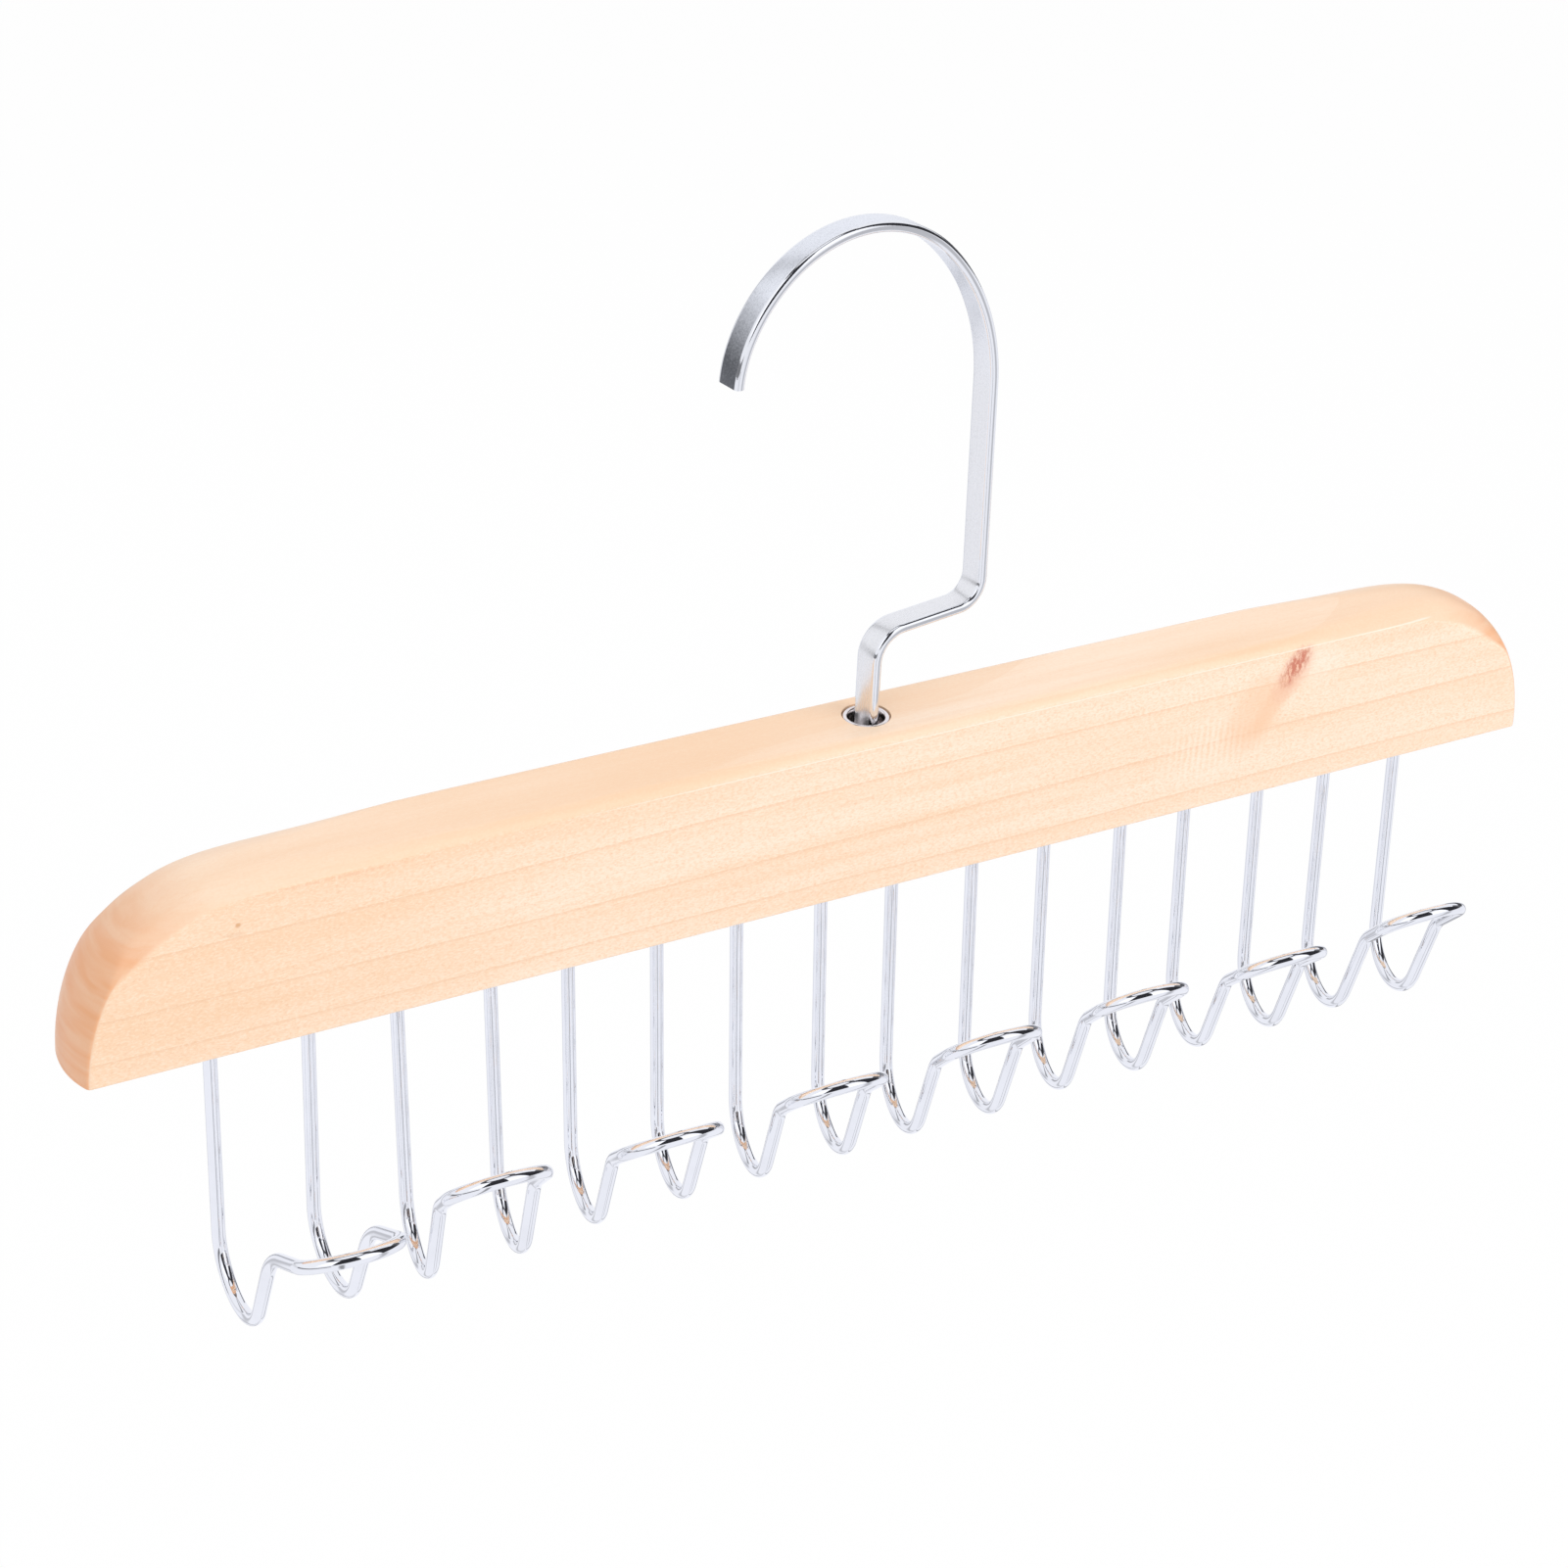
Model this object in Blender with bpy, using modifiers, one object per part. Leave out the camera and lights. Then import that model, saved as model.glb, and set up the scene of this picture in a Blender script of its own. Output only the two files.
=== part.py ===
"""Belt hanger: a wood bar that turns under a flat hook and carries eight wire loops for belts.

Units are metres and +Z is up. X runs along the bar and -Y is its front. The origin is the rod seat: the inner
face of the hook's crook, straight above the axis that the bar swivels on.
"""
import math

import bmesh
import bpy
from mathutils import Euler, Vector

# Fits and cuts
touching_gap = 0.0003
leg_end_gap = 0.0006
cut_overrun = 0.002

# Wood bar
bar_length = 0.3008
bar_thickness = 0.017
bar_face_height = 0.0305
bar_edge_rise = 0.0019
bar_edge_run = 0.0019
bar_nose_edge_run = 0.0084
bar_end_reach = 0.061
end_rise_power_share = 1.74
end_reach_power_share = 6.1
edge_run_power_share = 0.33
end_outline_steps = 12
edge_steps = 5

# Wire belt loops
loop_count = 8
loop_end_margin = 0.0325
wire_diameter = 0.0025
leg_spacing = 0.0178
leg_depth_in_wood = 0.015
leg_drop = 0.0418
trough_radius = 0.0095
limb_lean = math.radians(25.2)
limb_length = 0.0145
limb_top_radius = 0.0075
limb_top_turn = math.radians(28.2)
limb_top_run = 0.0057
corner_radius = 0.0065
front_bar_bow = math.radians(45.6)

# The first loop is a little deeper, and its front bar is bent further out than the others
first_leg_drop = 0.0422
first_trough_radius = 0.0101
first_limb_lean = math.radians(23.2)
first_limb_length = 0.0127
first_limb_top_radius = 0.0150
first_limb_top_turn = math.radians(38.5)
first_limb_top_run = 0.0083
first_corner_radius = 0.0055
first_front_bar_bow = math.radians(44.0)

# Each wire stands a little its own way in its holes: its lean to the front, its lean to the left, the slant of its
# limbs to the left, all in degrees, and its shift along the row as a share of the wire's thickness
loop_stands = (
    (0.2, 0.5, -0.6, 0.00),
    (7.8, 1.7, 8.2, 0.18),
    (4.1, 0.6, 7.6, -0.08),
    (5.9, 1.4, 9.3, 0.14),
    (7.6, 2.7, 9.8, -0.09),
    (7.6, 2.7, 11.9, 0.07),
    (5.4, 1.2, 12.2, -0.23),
    (7.5, 3.3, 12.8, 0.02),
)

# Flat hook
strip_width = 0.0055
strip_thickness = 0.0019
strip_edge_bevel = 0.0006
hook_yaw = math.radians(8.2)
stem_above_rim = 0.0114
stem_bend_radius = 0.0058
offset_slope = math.radians(1.5)
offset_run = 0.0131
riser_bend_radius = 0.0050
riser_lean = math.radians(1.4)
riser_length = 0.0377
crook_entry_radius = 0.0385
crook_entry_turn = math.radians(46.1)
crook_radius = 0.0261
crook_turn = math.radians(108.2)
crook_tip_radius = 0.0226
crook_tip_turn = math.radians(20.0)

# Swivel: ferrule pressed in the bar, and the hook's tenon with its washer and peened head
ferrule_rim_sink = 0.0001
ferrule_rim_radius = 0.00445
ferrule_rim_thickness = 0.0006
ferrule_depth = 0.0080
ferrule_wall = 0.0005
ferrule_floor_thickness = 0.0008
funnel_flare = 0.0004
funnel_depth = 0.0015
rim_edge_round = 0.0002
strip_turning_gap = 0.0004
strip_entry_depth = 0.0030
tenon_radius = 0.0015
tenon_overlap = 0.0010
tenon_head_radius = 0.0026
tenon_head_thickness = 0.0012
washer_radius = 0.0031
washer_thickness = 0.0006
socket_floor_gap = 0.0010

# Sizes worked out from the ones above
bar_height = bar_face_height + bar_edge_rise
rim_height = bar_height - ferrule_rim_sink
strip_end_height = rim_height - strip_entry_depth
strip_half_diagonal = math.hypot(strip_width, strip_thickness) / 2
ferrule_inner_radius = strip_half_diagonal + strip_turning_gap
ferrule_outer_radius = ferrule_inner_radius + ferrule_wall
ferrule_foot_height = rim_height - ferrule_depth
tenon_hole_radius = tenon_radius + touching_gap
washer_top_height = ferrule_foot_height - touching_gap
washer_foot_height = washer_top_height - washer_thickness
head_top_height = washer_foot_height - touching_gap
head_foot_height = head_top_height - tenon_head_thickness
socket_foot_height = head_foot_height - socket_floor_gap
socket_radius = max(ferrule_outer_radius, washer_radius, tenon_head_radius) + touching_gap
wire_radius = wire_diameter / 2
loop_pitch = (bar_length - 2 * loop_end_margin) / (loop_count - 1)


def clear_scene():
    for thing in list(bpy.data.objects):
        bpy.data.objects.remove(thing)


def make_collection(name):
    collection = bpy.data.collections.new(name)
    bpy.context.scene.collection.children.link(collection)
    return collection


def make_material(name, colour, roughness, metallic):
    material = bpy.data.materials.new(name)
    material.use_nodes = True
    shader = material.node_tree.nodes["Principled BSDF"]
    shader.inputs["Base Color"].default_value = (*colour, 1.0)
    shader.inputs["Roughness"].default_value = roughness
    shader.inputs["Metallic"].default_value = metallic
    return material


def add_object(name, data, collection, parent, material=None):
    thing = bpy.data.objects.new(name, data)
    collection.objects.link(thing)
    thing.parent = parent
    if material:
        data.materials.append(material)
    return thing


def mesh_of(shape, name):
    mesh = bpy.data.meshes.new(name)
    bmesh.ops.recalc_face_normals(shape, faces=shape.faces[:])
    shape.to_mesh(mesh)
    shape.free()
    return mesh


def shade_round(mesh):
    mesh.shade_smooth()
    mesh.set_sharp_from_angle(angle=math.radians(35))


def to_welded_mesh(curve_object, collection, parent):
    """Turn a curve object into a mesh object with its loose caps welded, in the same place."""
    bpy.context.view_layer.update()
    evaluated = curve_object.evaluated_get(bpy.context.evaluated_depsgraph_get())
    mesh = bpy.data.meshes.new_from_object(evaluated)
    shape = bmesh.new()
    shape.from_mesh(mesh)
    bmesh.ops.remove_doubles(shape, verts=shape.verts[:], dist=touching_gap / 30)
    bmesh.ops.recalc_face_normals(shape, faces=shape.faces[:])
    shape.to_mesh(mesh)
    shape.free()
    name = curve_object.name
    place = curve_object.matrix_world.copy()
    bpy.data.objects.remove(curve_object)
    solid = bpy.data.objects.new(name, mesh)
    collection.objects.link(solid)
    solid.parent = parent
    solid.matrix_world = place
    return solid


def turned(name, profile, steps, collection, parent, material=None):
    """Screw a profile of radius and height points, run down its outer side, about Z."""
    mesh = bpy.data.meshes.new(name)
    points = [(radius, 0.0, height) for radius, height in profile]
    edges = [(i, (i + 1) % len(points)) for i in range(len(points))]
    if profile[0][0] == 0:
        edges.pop()
    mesh.from_pydata(points, edges, [])
    thing = add_object(name, mesh, collection, parent, material)
    screw = thing.modifiers.new("turn", "SCREW")
    screw.steps = steps
    screw.render_steps = steps
    screw.use_merge_vertices = True
    screw.merge_threshold = touching_gap / 30
    return thing


def cut(thing, cutter):
    boolean = thing.modifiers.new("cut", "BOOLEAN")
    boolean.operation = "DIFFERENCE"
    boolean.object = cutter
    cutter.hide_render = True
    cutter.display_type = "WIRE"


def join(thing, other):
    boolean = thing.modifiers.new("join", "BOOLEAN")
    boolean.operation = "UNION"
    boolean.object = other
    other.hide_render = True
    other.display_type = "WIRE"


# Flat hook

def strip_centreline():
    """Points of the strip's side view: distance from the swivel axis and height above the bar's underside."""
    point = Vector((0.0, strip_end_height))
    heading = math.radians(90)
    points = [point.copy()]

    def run(length):
        nonlocal point
        point = point + length * Vector((math.cos(heading), math.sin(heading)))
        points.append(point.copy())

    def turn(radius, angle, steps):
        nonlocal point, heading
        side = math.copysign(1, angle)
        centre = point + radius * side * Vector((-math.sin(heading), math.cos(heading)))
        for step in range(1, steps + 1):
            at = heading + angle * step / steps
            points.append(centre + radius * side * Vector((math.sin(at), -math.cos(at))))
        point = points[-1].copy()
        heading += angle

    run(strip_entry_depth + stem_above_rim)
    turn(stem_bend_radius, offset_slope - math.radians(90), 6)
    run(offset_run)
    turn(riser_bend_radius, math.radians(90) + riser_lean - offset_slope, 6)
    run(riser_length)
    turn(crook_entry_radius, crook_entry_turn, 7)
    turn(crook_radius, crook_turn, 14)
    turn(crook_tip_radius, crook_tip_turn, 3)
    return points


def beside(points, distance):
    """The line that runs beside a line of points, a distance to its left."""
    line = []
    for i, point in enumerate(points):
        before = points[max(i - 1, 0)]
        after = points[min(i + 1, len(points) - 1)]
        along_in = (point - before).normalized() if i else (after - point).normalized()
        along_out = (after - point).normalized() if i < len(points) - 1 else along_in
        along = (along_in + along_out).normalized()
        reach = distance / max(along.dot(along_in), 0.5)
        line.append(point + reach * Vector((-along.y, along.x)))
    return line


def rod_seat_height():
    """Height of the crook's inner face above the bar's underside, on the swivel axis."""
    inner = beside(strip_centreline(), strip_thickness / 2)
    heights = []
    for first, second in zip(inner[:-1], inner[1:]):
        if first.x > 0 >= second.x:
            share = first.x / (first.x - second.x)
            heights.append(first.y + share * (second.y - first.y))
    return max(heights)


def flat_hook(collection, cutters, parent, material):
    line = strip_centreline()
    outline = beside(line, strip_thickness / 2) + beside(line, -strip_thickness / 2)[::-1]
    curve = bpy.data.curves.new("flat_hook", "CURVE")
    curve.dimensions = "2D"
    curve.fill_mode = "BOTH"
    curve.extrude = strip_width / 2
    spline = curve.splines.new("POLY")
    spline.points.add(len(outline) - 1)
    for slot, point in zip(spline.points, outline):
        slot.co = (point.x, point.y, 0.0, 1.0)
    spline.use_cyclic_u = True
    strip = add_object("flat_hook", curve, collection, parent)
    strip.rotation_euler = (math.radians(90), 0.0, hook_yaw)
    strip = to_welded_mesh(strip, collection, parent)
    strip.data.materials.append(material)

    round_over = strip.modifiers.new("edges", "BEVEL")
    round_over.width = strip_edge_bevel
    round_over.segments = 2
    round_over.limit_method = "ANGLE"
    round_over.angle_limit = math.radians(60)

    top = strip_end_height + tenon_overlap
    tenon = turned(
        "tenon",
        [
            (0.0, top),
            (tenon_radius, top),
            (tenon_radius, head_top_height),
            (tenon_head_radius, head_top_height),
            (tenon_head_radius, head_foot_height),
            (0.0, head_foot_height),
        ],
        24, cutters, parent, material,
    )
    join(strip, tenon)
    return strip


# Swivel

def ferrule(collection, parent, material):
    foot = ferrule_foot_height
    return turned(
        "ferrule",
        [
            (ferrule_rim_radius - rim_edge_round, rim_height),
            (ferrule_rim_radius, rim_height - rim_edge_round),
            (ferrule_rim_radius, rim_height - ferrule_rim_thickness),
            (ferrule_outer_radius, rim_height - ferrule_rim_thickness),
            (ferrule_outer_radius, foot),
            (tenon_hole_radius, foot),
            (tenon_hole_radius, foot + ferrule_floor_thickness),
            (ferrule_inner_radius, foot + ferrule_floor_thickness),
            (ferrule_inner_radius, rim_height - funnel_depth),
            (ferrule_inner_radius + funnel_flare, rim_height),
        ],
        28, collection, parent, material,
    )


def swivel_washer(collection, parent, material):
    return turned(
        "swivel_washer",
        [
            (washer_radius, washer_top_height),
            (washer_radius, washer_foot_height),
            (tenon_hole_radius, washer_foot_height),
            (tenon_hole_radius, washer_top_height),
        ],
        24, collection, parent, material,
    )


# Wood bar

def end_outline():
    """Inset from the bar's end and height, up the rounded end and its outward direction at each point."""
    points = []
    for step in range(end_outline_steps + 1):
        angle = math.radians(90) * step / end_outline_steps
        height = bar_face_height * math.sin(angle) ** (2 / end_rise_power_share)
        along = max(math.cos(angle), 0.0) ** (2 / end_reach_power_share)
        if step == end_outline_steps:
            along = 0.0
        points.append(Vector((bar_end_reach * (1 - along), height)))
    outward = [Vector((-1.0, 0.0))]
    for before, after in zip(points[:-2], points[2:]):
        way = (after - before).normalized()
        outward.append(Vector((-way.y, way.x)))
    outward.append(Vector((0.0, 1.0)))
    return points, outward


def edge_section(inset):
    """Places across the bar and rises above the flat faces' outline, at a distance in from the bar's end.

    Each long edge is rounded over by an arc that ends level. It is a quarter round along the top, and runs in to
    the middle of the bar's thickness on the noses.
    """
    left = max(1 - inset / bar_end_reach, 0.0) ** edge_run_power_share
    run = bar_edge_run + (bar_nose_edge_run - bar_edge_run) * left
    radius = (run ** 2 + bar_edge_rise ** 2) / (2 * bar_edge_rise)
    points = []
    for step in range(edge_steps + 1):
        angle = math.asin(min(run / radius, 1.0)) * (1 - step / edge_steps)
        across = bar_thickness / 2 - run + radius * math.sin(angle)
        points.append((-across, bar_edge_rise - radius * (1 - math.cos(angle))))
    return points + [(-across, rise) for across, rise in points[::-1]]


def wood_blank():
    """Loft the rounded edge between the two flat faces' outlines, then close faces and underside."""
    insets, outward = end_outline()
    half_length = bar_length / 2
    shape = bmesh.new()
    sections = [edge_section(place.x) for place in insets]
    rings = []
    for step in range(len(sections[0])):
        ring = []
        for side in (-1, 1):
            half_ring = []
            for place, way, section in zip(insets, outward, sections):
                across, rise = section[step]
                inset = place.x + way.x * rise
                height = place.y + way.y * rise
                half_ring.append(shape.verts.new((side * (half_length - inset), across, height)))
            ring += half_ring if side < 0 else half_ring[::-1]
        rings.append(ring)
    for front, back in zip(rings[:-1], rings[1:]):
        for i in range(len(front) - 1):
            shape.faces.new((front[i], front[i + 1], back[i + 1], back[i]))
    shape.faces.new(rings[0])
    shape.faces.new(rings[-1])
    left = [ring[0] for ring in rings]
    right = [ring[-1] for ring in rings]
    shape.faces.new(left + right[::-1])
    return mesh_of(shape, "wood_bar")


def wood_bar(collection, cutters, parent, material):
    bar = add_object("wood_bar", wood_blank(), collection, parent, material)
    above = bar_height + cut_overrun
    seat = rim_height - ferrule_rim_thickness - touching_gap
    socket = turned(
        "swivel_socket",
        [
            (0.0, above),
            (ferrule_rim_radius + touching_gap, above),
            (ferrule_rim_radius + touching_gap, seat),
            (socket_radius, seat),
            (socket_radius, socket_foot_height),
            (0.0, socket_foot_height),
        ],
        28, cutters, parent,
    )
    cut(bar, socket)
    hole = leg_hole()
    for place, turn, _ in loop_settings():
        for side in (-1, 1):
            cutter = add_object("leg_hole", hole, cutters, parent)
            across = Vector((side * leg_spacing / 2, 0.0, 0.0))
            across.rotate(turn)
            cutter.location = (place + across.x, across.y, across.z)
            cutter.rotation_euler = turn
            cut(bar, cutter)
    return bar


def leg_hole():
    shape = bmesh.new()
    depth = leg_depth_in_wood + leg_end_gap + cut_overrun
    bmesh.ops.create_cone(
        shape, cap_ends=True, segments=12, depth=depth,
        radius1=wire_radius + touching_gap, radius2=wire_radius + touching_gap,
    )
    bmesh.ops.translate(shape, verts=shape.verts[:], vec=(0.0, 0.0, depth / 2 - cut_overrun))
    return mesh_of(shape, "leg_hole")


# Wire belt loops

plain_form = {
    "leg_drop": leg_drop,
    "trough_radius": trough_radius,
    "limb_lean": limb_lean,
    "limb_length": limb_length,
    "top_radius": limb_top_radius,
    "top_turn": limb_top_turn,
    "top_run": limb_top_run,
    "corner_radius": corner_radius,
    "bow": front_bar_bow,
}
first_form = {
    "leg_drop": first_leg_drop,
    "trough_radius": first_trough_radius,
    "limb_lean": first_limb_lean,
    "limb_length": first_limb_length,
    "top_radius": first_limb_top_radius,
    "top_turn": first_limb_top_turn,
    "top_run": first_limb_top_run,
    "corner_radius": first_corner_radius,
    "bow": first_front_bar_bow,
}


def loop_settings():
    """Each loop's place along the bar, its turn and the slant of its limbs."""
    settings = []
    for i, (lean, side_lean, slant, shift) in enumerate(loop_stands):
        place = (i - (loop_count - 1) / 2) * loop_pitch + shift * wire_diameter
        turn = Euler((-math.radians(lean), math.radians(side_lean), 0.0))
        settings.append((place, turn, math.radians(slant)))
    return settings


def bend(points, heading, toward, radius, angle, steps):
    """Carry a line of points round an arc toward a direction; the new heading comes back."""
    side = (toward - heading * toward.dot(heading)).normalized()
    start = points[-1]
    for step in range(1, steps + 1):
        at = angle * step / steps
        points.append(start + side * radius * (1 - math.cos(at)) + heading * radius * math.sin(at))
    return heading * math.cos(angle) + side * math.sin(angle)


def half_loop(side, form, slant):
    """One leg, its trough, its front limb and its corner, as points and the last heading."""
    forward = Vector((-math.sin(slant), -math.cos(slant), 0.0))
    inward = Vector((-side, 0.0, 0.0))
    heading = Vector((0.0, 0.0, -1.0))
    points = [Vector((side * leg_spacing / 2, 0.0, leg_depth_in_wood))]
    points.append(points[-1] + heading * (leg_depth_in_wood + form["leg_drop"]))
    heading = bend(points, heading, forward, form["trough_radius"], math.pi - form["limb_lean"], 9)
    points.append(points[-1] + heading * form["limb_length"])
    heading = bend(points, heading, forward, form["top_radius"], form["top_turn"], 4)
    # The limbs lean sideways, so the one that leans outward is shorter and the front bar sits square
    run = form["top_run"] + form["corner_radius"] * heading.dot(inward)
    points.append(points[-1] + heading * run)
    heading = bend(points, heading, inward, form["corner_radius"], heading.angle(inward) - form["bow"], 4)
    return points, heading


def loop_points(form, slant):
    left, heading = half_loop(-1, form, slant)
    right, _ = half_loop(1, form, slant)
    chord = right[-1] - left[-1]
    along = chord.normalized()
    aside = (heading - along * heading.dot(along)).normalized()
    bow = math.atan2(heading.dot(aside), heading.dot(along))
    radius = chord.length / (2 * math.sin(bow))
    middle = (left[-1] + right[-1]) / 2
    front = []
    steps = 8
    for step in range(1, steps):
        at = bow * (2 * step / steps - 1)
        front.append(middle + along * radius * math.sin(at) + aside * radius * (math.cos(at) - math.cos(bow)))
    return left + front + right[::-1]


def loop_curve(name, form, slant, material):
    curve = bpy.data.curves.new(name, "CURVE")
    curve.dimensions = "3D"
    curve.bevel_depth = wire_radius
    curve.bevel_resolution = 2
    curve.use_fill_caps = True
    points = loop_points(form, slant)
    spline = curve.splines.new("POLY")
    spline.points.add(len(points) - 1)
    for slot, point in zip(spline.points, points):
        slot.co = (*point, 1.0)
    curve.materials.append(material)
    return curve


def belt_loops(collection, parent, material):
    for i, (place, turn, slant) in enumerate(loop_settings()):
        name = "belt_loop_%d" % (i + 1)
        curve = loop_curve(name, plain_form if i else first_form, slant, material)
        wire = add_object(name, curve, collection, parent)
        wire.location = (place, 0.0, 0.0)
        wire.rotation_euler = turn


# Assembly

def build():
    clear_scene()
    parts = make_collection("belt_hanger")
    cutters = make_collection("cutters")
    wood = make_material("wood", (0.87, 0.68, 0.47), 0.38, 0.0)
    chrome = make_material("chrome", (0.80, 0.82, 0.85), 0.12, 1.0)
    satin = make_material("satin_chrome", (0.74, 0.76, 0.80), 0.28, 1.0)
    nickel = make_material("nickel", (0.62, 0.60, 0.58), 0.20, 1.0)

    hook_frame = add_object("hook_frame", None, parts, None)
    bar_frame = add_object("bar_frame", None, parts, None)
    underside_height = -rod_seat_height()
    for frame in (hook_frame, bar_frame):
        frame.location = (0.0, 0.0, underside_height)
    bpy.context.view_layer.update()

    flat_hook(parts, cutters, hook_frame, satin)
    wood_bar(parts, cutters, bar_frame, wood)
    ferrule(parts, bar_frame, nickel)
    swivel_washer(parts, bar_frame, nickel)
    belt_loops(parts, bar_frame, chrome)
    for thing in parts.objects:
        if thing.type == "MESH":
            shade_round(thing.data)


build()
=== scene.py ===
"""Belt hanger: a lacquered wood bar that turns under a flat chromed hook and carries eight wire loops.

Units are metres and +Z is up. The bar lies along X with its front to -Y, and the origin is the rod seat.
"""
import math

import bmesh
import bpy
from mathutils import Euler, Matrix, Vector


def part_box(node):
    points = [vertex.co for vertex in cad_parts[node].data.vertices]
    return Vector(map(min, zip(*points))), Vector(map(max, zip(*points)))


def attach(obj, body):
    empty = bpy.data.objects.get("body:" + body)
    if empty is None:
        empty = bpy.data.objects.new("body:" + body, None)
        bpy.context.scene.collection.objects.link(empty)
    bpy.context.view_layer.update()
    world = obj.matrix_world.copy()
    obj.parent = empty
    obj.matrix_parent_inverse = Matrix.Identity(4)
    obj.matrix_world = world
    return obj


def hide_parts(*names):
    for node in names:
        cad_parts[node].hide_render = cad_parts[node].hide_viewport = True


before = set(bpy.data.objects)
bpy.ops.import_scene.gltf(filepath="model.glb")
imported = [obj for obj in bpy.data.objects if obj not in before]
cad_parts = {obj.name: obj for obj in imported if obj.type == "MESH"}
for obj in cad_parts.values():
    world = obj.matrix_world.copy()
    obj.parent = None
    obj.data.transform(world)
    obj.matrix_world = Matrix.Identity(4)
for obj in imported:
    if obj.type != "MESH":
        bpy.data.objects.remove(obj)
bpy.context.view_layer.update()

# Camera
# It stands in front of the bar and to its left, and looks down on it by about thirty degrees, a little
# tilted. The angles, the lens and the place come from a camera fitted to the edges in the photograph.
camera_azimuth = math.radians(29.99)
camera_dip = math.radians(29.76)
camera_tilt = math.radians(2.69)
camera_place = Vector((-0.267095, -0.434174, 0.183656))
lens_length = 73.26
film_width = 36.0
nearest_seen = 0.01
farthest_seen = 100.0

camera_data = bpy.data.cameras.new("camera")
camera_data.lens = lens_length
camera_data.sensor_width = film_width
camera_data.clip_start = nearest_seen
camera_data.clip_end = farthest_seen
camera = bpy.data.objects.new("camera", camera_data)
bpy.context.scene.collection.objects.link(camera)
camera.matrix_world = (
    Matrix.Translation(camera_place)
    @ Matrix.Rotation(-camera_azimuth, 4, "Z")
    @ Matrix.Rotation(math.radians(90) - camera_dip, 4, "X")
    @ Matrix.Rotation(camera_tilt, 4, "Z")
)
bpy.context.scene.camera = camera
bpy.context.scene.view_settings.view_transform = "Standard"

# Studio
# A wide pale floor lies well below the hanger, which hangs clear of it. Three soft boxes and the pale room
# light it. The camera sees the room white. Metal and lacquer mirror it white too, but for dark panels, two
# brighter ones in the place of the lamps, and a few soft dark stands round the floor.
floor_drop = 1.0
floor_radius = 6.5
floor_colour = (0.95, 0.95, 0.96, 1.0)
floor_glow = 0.96
floor_facets = 96
room_light = 0.73
room_white = (1.0, 1.0, 1.0, 1.0)
room_dark = (0.030, 0.030, 0.036, 1.0)
metal_white = (0.94, 0.95, 1.0, 1.0)
metal_floor = (0.93, 0.94, 1.0, 1.0)

# Each stop is a share of the way round the floor and the floor's brightness there
stands_round = [
    (0.000, 1.0), (0.184, 1.0), (0.194, 0.30), (0.206, 0.30), (0.216, 1.0),
    (0.355, 1.0), (0.375, 0.55), (0.395, 0.55), (0.415, 1.0),
    (0.565, 1.0), (0.580, 0.40), (0.594, 0.40), (0.608, 1.0),
    (0.728, 1.0), (0.738, 0.40), (0.750, 0.40), (0.764, 1.0),
    (0.795, 1.0), (0.808, 0.60), (0.822, 0.60), (0.835, 1.0), (1.000, 1.0),
]

# Each panel's two sides round the room from +X, its foot and its top, in degrees. A dark one's last value
# is its darkness.
dark_panels = [
    (-125, -78, 10, 66, 1.00), (-40, -4, -4, 62, 1.00), (-4, 12, -4, 24, 0.90),
    (12, 48, -9, 8, 0.95), (104, 112, 0, 62, 0.60), (112, 150, -14, 4, 0.20),
    (150, 180, -7, 3, 0.80), (-180, -125, -7, 3, 0.80), (-180, 180, 63, 71, 0.95),
]
bright_panels = [(-76, -41, 6, 46), (-160, -127, 22, 60)]
bright_panel_strength = 1.30
panel_fade = 1.5

lamps_aim = Vector((0.0, 0.0, -0.09))
key_box_size = 1.8
key_box_power = 23.2
key_box_place = Vector((1.15, -1.75, 1.05))
front_box_size = 1.3
front_box_power = 6.8
front_box_place = Vector((-1.30, -1.00, 1.35))
back_box_size = 2.8
back_box_power = 12.5
back_box_place = Vector((0.6, 1.9, 1.3))


def add_node(tree, kind, inputs=None, **settings):
    """Add a node. Inputs that are other nodes' outputs are linked to it, and other values are set."""
    added = tree.nodes.new(kind)
    for name, value in settings.items():
        setattr(added, name, value)
    for name, value in (inputs or {}).items():
        if isinstance(value, bpy.types.NodeSocket):
            tree.links.new(value, added.inputs[name])
        else:
            added.inputs[name].default_value = value
    return added


def ramp_stops(ramp, stops):
    """Give a colour ramp its stops, as places with greys."""
    elements = ramp.color_ramp.elements
    while len(elements) < len(stops):
        elements.new(0.5)
    for element, (place, grey) in zip(elements, stops):
        element.position = place
        element.color = (grey, grey, grey, 1.0)


def new_material(name):
    """A node material with only its output node."""
    material = bpy.data.materials.new(name)
    material.use_nodes = True
    material.node_tree.nodes.clear()
    output = add_node(material.node_tree, "ShaderNodeOutputMaterial")
    return material, material.node_tree, output


def ranged(tree, value, low, high, out_low=0.0, out_high=1.0):
    """Stretch the part of a value between two levels to a new range, and cut off the rest."""
    return add_node(tree, "ShaderNodeMapRange", {
        "Value": value, "From Min": low, "From Max": high, "To Min": out_low, "To Max": out_high,
    }).outputs[0]


def blended(tree, share, first, second):
    """Mix two colours, or a socket and a colour, by a share."""
    mix = add_node(tree, "ShaderNodeMix", data_type="RGBA")
    for socket, value in zip((mix.inputs[0], mix.inputs[6], mix.inputs[7]), (share, first, second)):
        if isinstance(value, bpy.types.NodeSocket):
            tree.links.new(value, socket)
        else:
            socket.default_value = value
    return mix.outputs[2]


def worked(tree, operation, first, second):
    """The sum, product or other working of two values."""
    return add_node(tree, "ShaderNodeMath", {0: first, 1: second}, operation=operation).outputs[0]


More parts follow.
